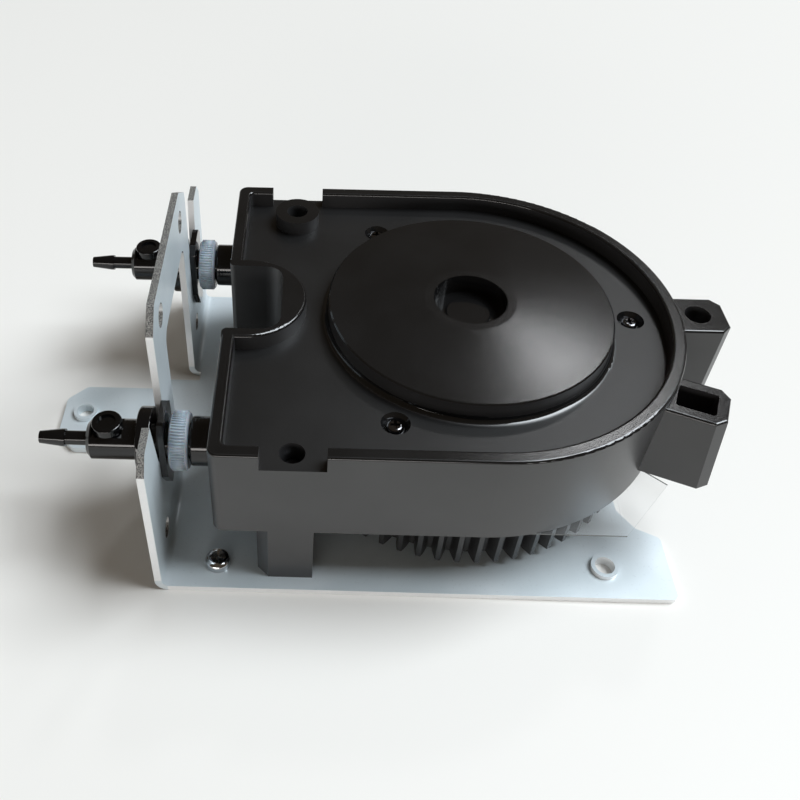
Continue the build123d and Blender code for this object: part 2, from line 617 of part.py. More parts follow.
def tube_race():
    """The fixed wall that the rollers press the tube against, with its screw flange."""
    top = DECK_UNDER - 0.05
    race = u_band(RACE_RADIUS, RACE_RADIUS + RACE_WALL, COVER_TOP + 0.05, top, RACE_LEG_END)
    race = race + u_band(RACE_FLANGE_IN, RACE_FLANGE_OUT, top - RACE_FLANGE, top, RACE_LEG_END)
    for x, y in cover_screw_places():
        race = race - rod(x, y, HOUSING_BOTTOM, DECK_TOP, COVER_BOSS + 0.2)
    for x, y in deck_screw_places():
        race = race - rod(x, y, top - RACE_FLANGE - 1, DECK_TOP, DECK_SCREW_SHANK + SEAT)
    return race


def tube_end():
    """Where a tube leg ends, inside its port."""
    return HOUSING_LEFT - 0.4


def pump_tube():
    """The hose: two straight legs joined by a half circle round the rotor."""
    start = tube_end()
    line_in = Line((start, -PORT_Y, PORT_Z), (0, -PORT_Y, PORT_Z))
    bow = ThreePointArc((0, -PORT_Y, PORT_Z), (PORT_Y, 0, PORT_Z), (0, PORT_Y, PORT_Z))
    line_out = Line((0, PORT_Y, PORT_Z), (start, PORT_Y, PORT_Z))
    path = Wire([line_in.edge(), bow.edge(), line_out.edge()])
    section_plane = Plane(origin=(start, -PORT_Y, PORT_Z), z_dir=(1, 0, 0))
    ring = section_plane * (Circle(TUBE_OUTER) - Circle(TUBE_INNER))
    return sweep(ring, path)


# ---- rotor ----

def roller_places():
    return ring_of(ROLLER_COUNT, ROLLER_ORBIT)


def rotor_plate_cuts(plate, bottom, top):
    """Pin holes in a rotor plate."""
    for x, y in roller_places():
        plate = plate - rod(x, y, bottom - 1, top + 1, ROLLER_PIN + SEAT)
    return plate


def rotor_spider():
    """Lower plate and hub in one, with the shaft bore."""
    top = ROTOR_BOTTOM + PLATE
    body = rod(0, 0, ROTOR_BOTTOM, top, PLATE_RADIUS)
    body = body + rod(0, 0, top, ROTOR_TOP - PLATE - 0.02, ROTOR_HUB)
    body = rotor_plate_cuts(body, ROTOR_BOTTOM, top)
    body = body - rod(0, 0, ROTOR_BOTTOM - 1, ROTOR_TOP + 1, SHAFT + SEAT)
    return body - cross_pin_hole(pin_heights()[0], ROTOR_HUB)


def rotor_top_plate():
    """Upper plate that closes the roller cage."""
    bottom = ROTOR_TOP - PLATE
    plate = rod(0, 0, bottom, ROTOR_TOP, PLATE_RADIUS) - rod(0, 0, bottom - 1, ROTOR_TOP + 1, SHAFT + SEAT)
    return rotor_plate_cuts(plate, bottom, ROTOR_TOP)


def roller(place):
    """One free-running roller with crowned edges."""
    x, y = place
    body = rod(x, y, ROLLER_BOTTOM, ROLLER_TOP, ROLLER)
    body = fillet(body.edges(), 0.8)
    return body - rod(x, y, ROLLER_BOTTOM - 1, ROLLER_TOP + 1, ROLLER_PIN + FIT)


def roller_pins():
    """The three pins that carry the rollers."""
    pins = [rod(x, y, ROTOR_BOTTOM, ROTOR_TOP, ROLLER_PIN) for x, y in roller_places()]
    return Compound([chamfer(pin.edges(), 0.2) for pin in pins])


def pin_heights():
    """Heights of the cross pins in the rotor and in the gear."""
    return ((ROLLER_BOTTOM + ROLLER_TOP) / 2, (GEAR_BOTTOM + GEAR_TOP) / 2)


def cross_pin(height, reach, radius):
    """A pin across the shaft."""
    return Pos(0, 0, height) * Rot(90, 0, 30) * Cylinder(radius, 2 * reach)


def cross_pin_hole(height, reach):
    return cross_pin(height, reach + 1, CROSS_PIN + SEAT)


def cross_pins():
    """Pins that lock rotor and gear to the shaft."""
    hubs = (ROTOR_HUB, GEAR_HUB)
    return Compound([cross_pin(z, hub - 0.3, CROSS_PIN) for z, hub in zip(pin_heights(), hubs)])


def rotor_shaft():
    """The steel shaft with its clip groove."""
    shaft = chamfer(rod(0, 0, GEAR_BOTTOM - SHAFT_FOOT, SHAFT_TOP, SHAFT).edges(), 0.4)
    groove_top = GEAR_BOTTOM - WASHER_GAP
    groove = rod(0, 0, groove_top - CLIP_THICK, groove_top, SHAFT + 1)
    shaft = shaft - (groove - rod(0, 0, 0, GEAR_BOTTOM, SHAFT - GROOVE))
    for height in pin_heights():
        shaft = shaft - cross_pin(height, SHAFT + 1, CROSS_PIN + SEAT)
    return shaft


def flanged_bush(bottom, length, flange_low):
    """A sleeve with a flange at its foot."""
    sleeve = rod(0, 0, bottom, bottom + length, BUSH_OUTER)
    if flange_low:
        sleeve = sleeve + rod(0, 0, bottom, bottom + BUSH_FLANGE_THICK, BUSH_FLANGE)
    return sleeve - rod(0, 0, bottom - 1, bottom + length + 1, SHAFT + FIT)


def thrust_washer():
    return rod(0, 0, THRUST_BOTTOM, THRUST_TOP, COVER_HUB) - rod(0, 0, 0, THRUST_TOP + 1, SHAFT + 0.1)


def shaft_clip():
    """Open retaining ring in the shaft's groove."""
    top = GEAR_BOTTOM - WASHER_GAP - SEAT
    bottom = top - CLIP_THICK + 2 * SEAT
    outer = SHAFT + CLIP_RING
    ring = rod(0, 0, bottom, top, outer) - rod(0, 0, bottom - 1, top + 1, SHAFT - GROOVE + SEAT)
    return ring - block((0, -2.4, bottom - 1), (outer + 1, 2.4, top + 1))


# ---- gear ----

def involute_angle(radius, base):
    """Polar angle of an involute where it has the given radius."""
    roll = sqrt(max((radius / base) ** 2 - 1, 0))
    return roll - atan(roll)


def gear_outline():
    """Points of a spur gear with involute flanks."""
    pitch = MODULE * TEETH / 2
    base = pitch * cos(radians(PRESSURE_ANGLE))
    tip = pitch + MODULE
    root = pitch - 1.25 * MODULE
    half_tooth = pi / (2 * TEETH) + involute_angle(pitch, base)
    radii = [max(root, base) + (tip - max(root, base)) * k / 4 for k in range(5)]
    flank = [(root, half_tooth)] + [(r, half_tooth - involute_angle(r, base)) for r in radii]
    points = []
    for tooth in range(TEETH):
        middle = 2 * pi * tooth / TEETH
        for r, a in flank:
            points.append((r * cos(middle - a), r * sin(middle - a)))
        for r, a in reversed(flank):
            points.append((r * cos(middle + a), r * sin(middle + a)))
    return points, root


def drive_gear():
    """The large spur gear with rim, web and hub."""
    points, root = gear_outline()
    gear = Pos(0, 0, GEAR_BOTTOM) * extrude(make_face(Polyline(*points, close=True)), GEAR_TOP - GEAR_BOTTOM)
    web_middle = (GEAR_BOTTOM + GEAR_TOP) / 2
    hollow = rod(0, 0, 0, GEAR_TOP - GEAR_BOTTOM, root - GEAR_RIM) - rod(0, 0, -1, GEAR_TOP, GEAR_HUB)
    gear = gear - Pos(0, 0, web_middle + GEAR_WEB / 2) * hollow
    gear = gear - Pos(0, 0, web_middle - GEAR_WEB / 2 - (GEAR_TOP - GEAR_BOTTOM)) * hollow
    for x, y in ring_of(GEAR_HOLES, (GEAR_HUB + root - GEAR_RIM) / 2):
        gear = gear - rod(x, y, 0, GEAR_TOP + 1, GEAR_HOLE)
    gear = gear - rod(0, 0, 0, GEAR_TOP + 1, SHAFT + SEAT)
    return gear - cross_pin_hole(pin_heights()[1], GEAR_HUB)


# ---- fittings ----

def barb(y):
    """Hose barb: a nose that widens to a crest, then a thinner shank."""
    profile = Polyline(
        (BARB_TIP, 0),
        (BARB_TIP, BARB_NOSE),
        (BARB_STEP - BARB_LAND, BARB),
        (BARB_STEP, BARB),
        (BARB_STEP, BARB_SHANK),
        (BODY_END + 0.5, BARB_SHANK),
        (BODY_END + 0.5, 0),
        close=True,
    )
    return Pos(0, y, PORT_Z) * revolve(make_face(profile), Axis.X)


def fitting(side):
    """Barbed bulkhead fitting: barb, body, collar and threaded neck."""
    y = side * PORT_Y
    collar_end = FLANGE_X - 0.05
    body = lying_rod(BODY_END, collar_end, y, PORT_Z, BODY)
    body = chamfer(body.edges().group_by(Axis.X)[0], 0.8)
    body = body + fillet(lying_rod(collar_end - COLLAR_LENGTH, collar_end, y, PORT_Z, COLLAR).edges(), 0.4)
    body = body + lying_rod(collar_end, NECK_END, y, PORT_Z, NECK) + barb(y)
    body = body - block((PLUG_X - PLUG, y - BODY, PLUG_FLAT), (PLUG_X + PLUG, y + BODY, PLUG_TOP))
    body = body - lying_rod(BARB_TIP - 1, NECK_END + 1, y, PORT_Z, BARB_BORE)
    return body - rod(PLUG_X, y, PORT_Z + BARB_BORE + 1, PLUG_TOP, PLUG_SHANK + SEAT)


def plug(side):
    """Round plug in the side port of a fitting."""
    y = side * PORT_Y
    head = fillet(rod(PLUG_X, y, PLUG_FLAT + SEAT, PLUG_TOP, PLUG).edges(), 0.45)
    dimple = rod(PLUG_X, y, PLUG_TOP - 0.5, PLUG_TOP + 1, PLUG - 1.3)
    return head + rod(PLUG_X, y, PORT_Z + BARB_BORE + 1.1, PLUG_FLAT + 0.5, PLUG_SHANK) - dimple


def clamp_plate(side):
    """Long plate between the flange and the nut, narrow at its foot."""
    y = side * PORT_Y
    start = FLANGE_IN + 0.05
    outline = Polyline(
        (-PLATE_HALF, PLATE_UP - 2),
        (2 - PLATE_HALF, PLATE_UP),
        (PLATE_HALF - 2, PLATE_UP),
        (PLATE_HALF, PLATE_UP - 2),
        (PLATE_HALF, -PLATE_DOWN / 2),
        (PLATE_HALF / 3, -PLATE_DOWN),
        (-PLATE_HALF / 3, -PLATE_DOWN),
        (-PLATE_HALF, -PLATE_DOWN / 2),
        close=True,
    )
    face = Plane.YZ * make_face(outline)
    plate = Pos(start, y, PORT_Z) * extrude(face, PLATE_THICK, dir=(1, 0, 0))
    plate = fillet(plate.edges().filter_by(Axis.X), 1.0)
    return plate - lying_rod(start - 1, start + 3, y, PORT_Z, NECK + THREAD_CLEARANCE)


def knurled_nut(side):
    """Round nut with fine straight ribs."""
    y = side * PORT_Y
    end = NUT_START + NUT_LENGTH
    nut = chamfer(lying_rod(NUT_START, end, y, PORT_Z, NUT).edges(), 0.4)
    for u, v in ring_of(NUT_RIBS, NUT):
        nut = nut - lying_rod(NUT_START - 1, end + 1, y + u, PORT_Z + v, 0.24)
    return nut - lying_rod(NUT_START - 1, end + 1, y, PORT_Z, NECK + THREAD_CLEARANCE)


def port_sleeve(side):
    """Sleeve in the end wall that joins the fitting's neck to the tube."""
    y = side * PORT_Y
    inside = HOUSING_LEFT + WALL + PORT_INSIDE
    sleeve = lying_rod(PORT_START, HOUSING_LEFT - 0.05, y, PORT_Z, PORT_OUTER)
    sleeve = fillet(sleeve.edges().group_by(Axis.X)[0], 0.4)
    sleeve = sleeve + lying_rod(HOUSING_LEFT - 0.1, inside, y, PORT_Z, PORT_SPIGOT)
    sleeve = sleeve - lying_rod(PORT_START - 1, NECK_END + SEAL_THICK + 0.1, y, PORT_Z, NECK + SEAT)
    sleeve = sleeve - lying_rod(tube_end() - 0.1, inside + 1, y, PORT_Z, TUBE_OUTER + SEAT)
    return sleeve - lying_rod(PORT_START, inside, y, PORT_Z, TUBE_INNER)


def port_seal(side):
    """Flat rubber seal between the neck and the sleeve."""
    y = side * PORT_Y
    start = NECK_END + 0.05
    ring = lying_rod(start, start + SEAL_THICK - 0.05, y, PORT_Z, NECK - 0.1)
    return ring - lying_rod(start - 1, start + 2, y, PORT_Z, TUBE_INNER)


# ---- screws ----

def cross_slot(x, y, top, size):
    """A cross recess in a screw head."""
    depth, width = 0.8, 0.6
    one = block((x - size, y - width / 2, top - depth), (x + size, y + width / 2, top + 1))
    two = block((x - width / 2, y - size, top - depth), (x + width / 2, y + size, top + 1))
    return one + two


def pan_screw(x, y, seat, head, head_height, shank, tip):
    """Pan-head screw with its head above the seat and its shank below."""
    top = rod(x, y, seat + SEAT, seat + head_height, head)
    top = fillet(top.edges().group_by(Axis.Z)[-1], head_height * HEAD_ROUND)
    return top + rod(x, y, tip, seat + 0.1, shank) - cross_slot(x, y, seat + head_height, head * 0.6)


def deck_screws():
    """Three small screws round the disc that hold the race."""
    seat = DECK_TOP - DECK_FUNNEL_DEPTH
    tip = DECK_UNDER - RACE_FLANGE
    size = (DECK_SCREW_HEAD, DECK_SCREW_HEAD_HEIGHT, DECK_SCREW_SHANK)
    return Compound([pan_screw(x, y, seat, *size, tip) for x, y in deck_screw_places()])


def cover_screws():
    """Four screws that hold the bottom cover, heads down."""
    seat = COVER_BOTTOM + 1.3
    screws = []
    for x, y in cover_screw_places():
        head = rod(x, y, COVER_BOTTOM + 0.1, seat - SEAT, COVER_SCREW_HEAD)
        screws.append(head + rod(x, y, seat - 0.1, COVER_TOP + COVER_SCREW_REACH, DECK_SCREW_SHANK))
    return Compound(screws)


def leg_screws():
    """Two long screws down through the legs into the base plate."""
    tip = SHEET * 0.1
    places = (FRONT_SCREW, REAR_SCREW)
    screws = [pan_screw(x, y, LONG_SEAT, LONG_HEAD, LONG_HEAD_HEIGHT, LONG_SCREW, tip) for x, y in places]
    return Compound(screws)


def plate_screw():
    """Pan-head screw in the base plate beside the front leg."""
    x, y = PLATE_SCREW
    return pan_screw(x, y, SHEET, PLATE_SCREW_HEAD, 2.1, LONG_SCREW, SHEET * 0.1)


def clear_film():
    """Clear sheet under the housing that keeps drips off the gear, with a lug at each corner."""
    lug_x, lug_y = FILM_LUG
    half = FILM_HALF
    start = lug_x - (half - lug_y) * FILM_LUG_SLOPE
    inner_y = lug_y * 2 / 3
    inner_x = lug_x - (lug_y - inner_y) / FILM_LUG_SLOPE
    front = [(FILM_LEFT, -half), (start, -half), (lug_x, -lug_y), (inner_x, -inner_y)]
    rear = [(x, -y) for x, y in reversed(front)]
    outline = Polyline(*front, *rear, close=True)
    sheet = Pos(0, 0, FILM_TOP - FILM) * extrude(make_face(outline), FILM)
    start, end = BACK_LEG
    leg_room = block((start - 0.3, HOUSING_HALF - WALL - 0.3, 0), (end + 0.3, HOUSING_HALF + 1, RIM_TOP))
    return sheet - rod(0, 0, 0, RIM_TOP, FILM_HOLE) - leg_room


PARTS = {
    "base_bracket": base_bracket(),
    "pump_housing": pump_housing(),
    "bottom_cover": bottom_cover(),
    "tube_race": tube_race(),
    "pump_tube": pump_tube(),
    "clear_film": clear_film(),
    "rotor_spider": rotor_spider(),
    "rotor_top_plate": rotor_top_plate(),
    "roller_pins": roller_pins(),
    "rotor_shaft": rotor_shaft(),
    "cross_pins": cross_pins(),
    "lower_bush": flanged_bush(BUSH_BOTTOM, LOWER_BUSH, True),
    "upper_bush": flanged_bush(UPPER_BUSH_BOTTOM, UPPER_BUSH, False),
    "thrust_washer": thrust_washer(),
    "shaft_clip": shaft_clip(),
    "drive_gear": drive_gear(),
    "deck_screws": deck_screws(),
    "cover_screws": cover_screws(),
    "leg_screws": leg_screws(),
    "plate_screw": plate_screw(),
}
for number, place in enumerate(roller_places(), start=1):
    PARTS[f"roller_{number}"] = roller(place)
for name, side in (("front", -1), ("rear", 1)):
    PARTS[f"{name}_fitting"] = fitting(side)
    PARTS[f"{name}_plug"] = plug(side)
    PARTS[f"{name}_clamp_plate"] = clamp_plate(side)
    PARTS[f"{name}_nut"] = knurled_nut(side)
    PARTS[f"{name}_port_sleeve"] = port_sleeve(side)
    PARTS[f"{name}_seal"] = port_seal(side)

os.makedirs("parts", exist_ok=True)
for name, shape in PARTS.items():
    export_step(shape, f"parts/{name}.step")
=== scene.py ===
# %% [markdown]
# # A peristaltic pump head
#
# A peristaltic pump squeezes a soft hose with rollers. This one is a black moulded head on a folded
# zinc-plated bracket, with a large gear underneath that a motor's pinion drives. The solid parts come
# from CAD and already have their real shape and size. This notebook gives them their finishes, builds
# the finely ribbed nuts of the fittings, and sets up a plain studio around them. Lengths are in metres,
# and a value given in millimetres is multiplied by `MM`.

# %% Load the frame
import math

import bmesh
import bpy
from mathutils import Matrix, Vector


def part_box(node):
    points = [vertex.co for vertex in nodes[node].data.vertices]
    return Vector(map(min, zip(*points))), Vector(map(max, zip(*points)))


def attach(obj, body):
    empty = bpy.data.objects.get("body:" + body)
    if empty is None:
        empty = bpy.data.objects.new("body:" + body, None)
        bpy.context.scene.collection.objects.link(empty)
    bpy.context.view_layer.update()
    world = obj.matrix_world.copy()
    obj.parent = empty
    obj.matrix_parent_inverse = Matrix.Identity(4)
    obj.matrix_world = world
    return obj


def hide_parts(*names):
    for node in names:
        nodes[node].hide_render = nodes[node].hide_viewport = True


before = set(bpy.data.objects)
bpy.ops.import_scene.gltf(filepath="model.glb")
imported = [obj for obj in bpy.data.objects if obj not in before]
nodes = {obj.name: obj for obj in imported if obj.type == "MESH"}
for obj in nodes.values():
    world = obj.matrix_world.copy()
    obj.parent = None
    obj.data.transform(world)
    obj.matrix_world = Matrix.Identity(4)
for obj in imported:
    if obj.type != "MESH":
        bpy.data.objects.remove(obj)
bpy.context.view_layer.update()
MM = 0.001

# %% [markdown]
# ## A short way to write materials
#
# Shader nodes are easiest to read as arithmetic. A small class wraps a node's socket, so that an
# expression such as `1 - mask * 0.4` adds the Math nodes it needs. Everything else, such as noise,
# ramps and bumps, goes through one method that creates a node, applies its settings and fills its
# sockets.


# %% Shader arithmetic
class Value:
    """A number that varies over a surface: a socket in a material's node tree."""

    def __init__(self, paint, socket):
        self.paint = paint
        self.socket = socket

    def _math(self, operation, *others):
        return self.paint.add("Math", {"operation": operation}, [self, *others])

    def __add__(self, other):
        return self._math("ADD", other)

    def __sub__(self, other):
        return self._math("SUBTRACT", other)

    def __mul__(self, other):
        return self._math("MULTIPLY", other)

    def __rsub__(self, other):
        return self.paint.add("Math", {"operation": "SUBTRACT"}, [other, self])

    __radd__ = __add__
    __rmul__ = __mul__

    def power(self, exponent):
        return self._math("POWER", exponent)

    def magnitude(self):
        return self._math("ABSOLUTE")

    def sine(self):
        return self._math("SINE")

    def largest(self, other):
        return self._math("MAXIMUM", other)

    def between(self, low, high):
        """0 below low, 1 above high, and a smooth step between them."""
        settings = {"interpolation_type": "SMOOTHSTEP"}
        return self.paint.add("MapRange", settings, {"Value": self, "From Min": low, "From Max": high})


class Paint:
    """One material under construction."""

    def __init__(self, name):
        self.material = bpy.data.materials.new(name)
        self.material.use_nodes = True
        self.tree = self.material.node_tree
        self.tree.nodes.clear()
        self.shader = self.tree.nodes.new("ShaderNodeBsdfPrincipled")
        output = self.tree.nodes.new("ShaderNodeOutputMaterial")
        self.tree.links.new(self.shader.outputs[0], output.inputs[0])
        self.places = self.add("TexCoord", {}, {}, "Object")

    def fill(self, socket, value):
        if isinstance(value, Value):
            self.tree.links.new(value.socket, socket)
        else:
            socket.default_value = value

    def add(self, kind, settings, inputs, output=0):
        """Adds a node, applies its settings, fills its sockets and returns one output."""
        node = self.tree.nodes.new("ShaderNode" + kind)
        for key, value in settings.items():
            setattr(node, key, value)
        pairs = inputs.items() if isinstance(inputs, dict) else enumerate(inputs)
        for key, value in pairs:
            self.fill(node.inputs[key], value)
        return Value(self, node.outputs[output])

    def axes(self):
        """The X, Y and Z of each point, in metres."""
        split = self.add("SeparateXYZ", {}, [self.places])
        return [Value(self, s) for s in split.socket.node.outputs]

    def normals(self):
        """The X, Y and Z of the surface's direction at each point."""
        geometry = self.add("NewGeometry", {}, {}, "Normal")
        split = self.add("SeparateXYZ", {}, [geometry])
        return [Value(self, s) for s in split.socket.node.outputs]

    def noise(self, scale, detail=2.0, roughness=0.5, stretch=None):
        """Soft noise around 0.5. The scale is in repeats per metre."""
        places = self.places
        if stretch:
            places = self.add("VectorMath", {"operation": "MULTIPLY"}, [places, stretch])
        inputs = {"Vector": places, "Scale": scale, "Detail": detail, "Roughness": roughness}
        return self.add("TexNoise", {}, inputs, "Fac")

    def mix(self, factor, first, second):
        """Mixes two colours."""
        node = self.tree.nodes.new("ShaderNodeMix")
        node.data_type = "RGBA"
        self.fill(node.inputs["Factor"], factor)
        self.fill(node.inputs[6], first)
        self.fill(node.inputs[7], second)
        return Value(self, node.outputs[2])

    def bump(self, height, distance, strength):
        """Tilts the normal as if the surface rose by height times distance."""
        inputs = {"Height": height, "Distance": distance, "Strength": strength}
        return self.add("Bump", {}, inputs, "Normal")

    def finish(self, **sockets):
        """Fills the surface shader's sockets, named with spaces as underscores."""
        for key, value in sockets.items():
            self.fill(self.shader.inputs[key.replace("_", " ")], value)
        return self.material


def rgb(red, green, blue):
    return (red, green, blue, 1.0)


# %% [markdown]
# ## Black moulded plastic
#
# The housing is glass-filled plastic from a spark-eroded mould. Its flat tops have a fine even grain that
# breaks every reflection into tiny sparkles. The walls slid out of the mould, so their grain is fainter,
# and they are painted several times lighter than the tops: a painted reflection of the bright table and
# the front light. Small slopes, such as rounded edges and the funnels round the screws, were polished in
# the mould and draw thin bright lines. All three are found from the direction of the normal. Two more
# masks come from the place of a point: the deck is duller than the disc above it, and the recess in the
# middle of the disc is polished.


# %% Moulded black
def moulded_black(name, tone, grain, roughness, polished=None, eroded=None):
    """A black with its grain's depth in metres. The last two are masks of extra bright and dull places."""
    paint = Paint(name)
    up = paint.normals()[2].magnitude()
    top = up.between(0.93, 0.985)
    slope = up.between(0.12, 0.25) * (1 - up.between(0.90, 0.97))
    fine = paint.noise(4600, 1.0)
    broad = paint.noise(55, 3.0)
    smooth, dull = slope, 1 - top
    if polished:
        smooth = slope.largest(polished(paint))
    if eroded:
        dull = dull.largest(eroded(paint))
    rough = roughness + (broad - 0.5) * 0.04 + (fine - 0.5) * 0.06 + dull * 0.16
    rough = rough * (1 - smooth) + 0.11 * smooth
    grain_height = (fine * top + fine * 0.2) * (1 - smooth)
    # painted light: the walls take a colour several times lighter than the tops, a painted reflection of
    # the bright table and the front light
    wall_painted_light = paint.mix(broad.between(0.3, 0.7), rgb(*grey(tone * 4.0)), rgb(*grey(tone * 5.2)))
    flat = paint.mix(broad.between(0.3, 0.7), rgb(*grey(tone * 0.85)), rgb(*grey(tone * 1.25)))
    colour = paint.mix(top.largest(smooth), wall_painted_light, flat)
    normal = paint.bump(grain_height, grain, 0.8)
    return paint.finish(Base_Color=colour, Roughness=rough, Normal=normal, IOR=1.6)


def grey(level):
    return (level, level, level * 1.04)


HOUSING_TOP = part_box("pump_housing")[1][2]


def deck_mask(paint):
    """1 on the deck and below it, at least 4 mm under the top of the disc."""
    return 1 - paint.axes()[2].between(HOUSING_TOP - 4.0 * MM, HOUSING_TOP - 3.6 * MM)


def hub_mask(paint):
    """1 in the polished recess over the shaft end."""
    x, y, z = paint.axes()
    radius = (x * x + y * y).power(0.5)
    over_floor = z.between(HOUSING_TOP - 6.2 * MM, HOUSING_TOP - 5.8 * MM)
    return (1 - radius.between(8.0 * MM, 8.3 * MM)) * over_floor


housing_black = moulded_black("housing_black", 0.0065, 0.012 * MM, 0.19, hub_mask, deck_mask)
gear_black = moulded_black("gear_black", 0.0035, 0.008 * MM, 0.24)
inner_black = moulded_black("inner_black", 0.014, 0.010 * MM, 0.45)
print("moulded blacks ready")

# %% [markdown]
# The tube fittings are turned and polished, so they are glossier, with faint rings left by the tool.


# %% Turned black
def turned_black(name):
    paint = Paint(name)
    x = paint.axes()[0]
    rings = (x * 9000).sine()    # a ring every 0.7 mm
    broad = paint.noise(120, 2.0)
    rough = 0.06 + broad * 0.08
    normal = paint.bump(rings, 0.003 * MM, 0.5)
    colour = paint.mix(broad, rgb(0.0015, 0.0015, 0.0018), rgb(0.004, 0.004, 0.0045))
    return paint.finish(Base_Color=colour, Roughness=rough, Normal=normal, IOR=1.52)


fitting_black = turned_black("fitting_black")

# %% [markdown]
# ## Zinc-plated sheet
#
# Plated steel is a soft blue grey with a rolling direction. Points whose normal lies in the plane of the
# sheet are cut edges, and a mask from the normal finds them. Edges that face the front were trimmed
# clean and shine: they are painted near white, partly their bare steel and partly a painted highlight.
# Edges that face up, and the walls of the punched holes, are torn and grainy and are painted dark,
# partly the torn steel and partly painted shade inside the holes.


# %% Zinc sheet
FLANGE_SIDE = -64.0 * MM    # the flange and the foot lie on the -X side of this
BEND_TOP = 3.4 * MM         # height at which the flange is upright
BLUR = 0.2 * MM


def zinc_sheet(name):
    paint = Paint(name)
    x, _, z = paint.axes()
    across, _, upward = [n.magnitude() for n in paint.normals()]
    flange = 1 - x.between(FLANGE_SIDE - BLUR, FLANGE_SIDE + BLUR)
    upright = z.between(BEND_TOP - BLUR, BEND_TOP + BLUR)
    upright_edge = flange * (1 - across.between(0.3, 0.6)) * upright
    flat_edge = (1 - flange) * (1 - upward.between(0.3, 0.6))
    edge = upright_edge.largest(flat_edge)
    torn_and_shaded_edge = upright_edge * upward.between(0.25, 0.5)
    rolled = paint.noise(700, 3.0, 0.6, (1.0, 0.06, 0.06))
    cloudy = paint.noise(38, 3.0)
    spots = paint.noise(1500, 2.0)
    torn = paint.noise(4200, 2.0, 0.7)
    plain = paint.mix(cloudy.between(0.3, 0.7), rgb(0.62, 0.70, 0.74), rgb(0.73, 0.80, 0.84))
    plain = paint.mix(spots.between(0.62, 0.75) * 0.3, plain, rgb(0.50, 0.56, 0.60))
    # cut edges painted near white: partly the clean bare steel, partly a painted highlight
    bright = paint.mix(torn.between(0.3, 0.7), rgb(0.88, 0.90, 0.91), rgb(0.93, 0.94, 0.95))
    # torn edges and hole walls painted dark: partly the torn steel, partly painted shade inside the holes
    torn_and_shade_colour = paint.mix(torn.between(0.40, 0.62), rgb(0.05, 0.05, 0.05), rgb(0.34, 0.33, 0.31))
    colour = paint.mix(torn_and_shaded_edge, paint.mix(edge, plain, bright), torn_and_shade_colour)
    rough = 0.36 + (cloudy - 0.5) * 0.12 + (rolled - 0.5) * 0.12 + torn_and_shaded_edge * 0.2
    metallic = 0.18 + edge * 0.12 - torn_and_shaded_edge * 0.1
    height = rolled * (1 - edge) + torn * torn_and_shaded_edge * 2
    normal = paint.bump(height, 0.02 * MM, 0.5)
    return paint.finish(Base_Color=colour, Roughness=rough, Metallic=metallic, Normal=normal)


zinc = zinc_sheet("zinc_sheet")

# %% [markdown]
# ## Bright steel, bronze and black screws
#
# Ground steel shows fine marks round its axis, and sintered bronze is full of tiny pores.


# %% Metals
def metal(name, base, roughness, marks):
    """A metal whose fine marks are longer along the axes with a small value in marks."""
    paint = Paint(name)
    broad = paint.noise(150, 2.0)
    fine = paint.noise(6000, 2.0, 0.6, marks)
    dull = tuple(c * 0.7 for c in base)
    colour = paint.mix(broad.between(0.35, 0.65), rgb(*dull), rgb(*base))
    rough = roughness + (fine - 0.5) * 0.15 + (broad - 0.5) * 0.1
    normal = paint.bump(fine, 0.006 * MM, 0.4)
    return paint.finish(Base_Color=colour, Roughness=rough, Metallic=1.0, Normal=normal)


bright_steel = metal("bright_steel", (0.62, 0.63, 0.65), 0.10, (1.0, 1.0, 0.1))
ground_steel = metal("ground_steel", (0.60, 0.60, 0.61), 0.28, (0.2, 0.2, 1.0))
black_screw = metal("black_screw", (0.16, 0.16, 0.17), 0.12, (1.0, 1.0, 0.4))
bronze = metal("sintered_bronze", (0.50, 0.33, 0.15), 0.45, (1.0, 1.0, 1.0))

# %% [markdown]
# ## Milky, clear and soft plastics
#
# The nuts are natural nylon: light goes a little way in, so they look cool and soft. The film is clear
# polyester, nearly invisible apart from its gloss and its dark cut edges, with a few hairline scratches.
# The hose and the rollers are hidden inside the head but get their real finish too.


# %% Nylon, film, hose
def soft_plastic(name, low, high, roughness, scatter=0.0):
    paint = Paint(name)
    broad = paint.noise(300, 3.0)
    fine = paint.noise(3500, 2.0)
    colour = paint.mix(broad.between(0.3, 0.7), rgb(*low), rgb(*high))
    rough = roughness + (broad - 0.5) * 0.1
    normal = paint.bump(fine, 0.01 * MM, 0.3)
    sockets = {"Base_Color": colour, "Roughness": rough, "Normal": normal}
    if scatter:
        sockets.update(Subsurface_Weight=scatter, Subsurface_Scale=2.0 * MM)
    return paint.finish(**sockets)


def clear_sheet(name):
    paint = Paint(name)
    scratches = paint.noise(2400, 1.0, 0.5, (1.0, 0.03, 1.0)).between(0.68, 0.74)
    smears = paint.noise(60, 3.0)
    rough = 0.06 + smears * 0.06 + scratches * 0.3
    side = 1 - paint.normals()[2].magnitude().between(0.3, 0.7)
    alpha = 0.05 + smears.between(0.5, 0.8) * 0.03 + scratches * 0.08 + side * 0.85
    plain = paint.mix(smears, rgb(0.86, 0.88, 0.88), rgb(0.94, 0.95, 0.95))
    colour = paint.mix(side, plain, rgb(0.12, 0.13, 0.13))
    normal = paint.bump(smears, 0.05 * MM, 0.3)
    return paint.finish(Base_Color=colour, Roughness=rough, Alpha=alpha, Normal=normal, IOR=1.5)


nylon = soft_plastic("milky_nylon", (0.30, 0.34, 0.39), (0.46, 0.50, 0.56), 0.30, 0.30)
acetal = soft_plastic("white_acetal", (0.70, 0.70, 0.67), (0.80, 0.80, 0.77), 0.3)
hose_rubber = soft_plastic("hose_rubber", (0.55, 0.50, 0.40), (0.68, 0.63, 0.52), 0.4, 0.3)
seal_rubber = soft_plastic("seal_rubber", (0.012, 0.012, 0.012), (0.02, 0.02, 0.02), 0.55)
clear_polyester = clear_sheet("clear_polyester")

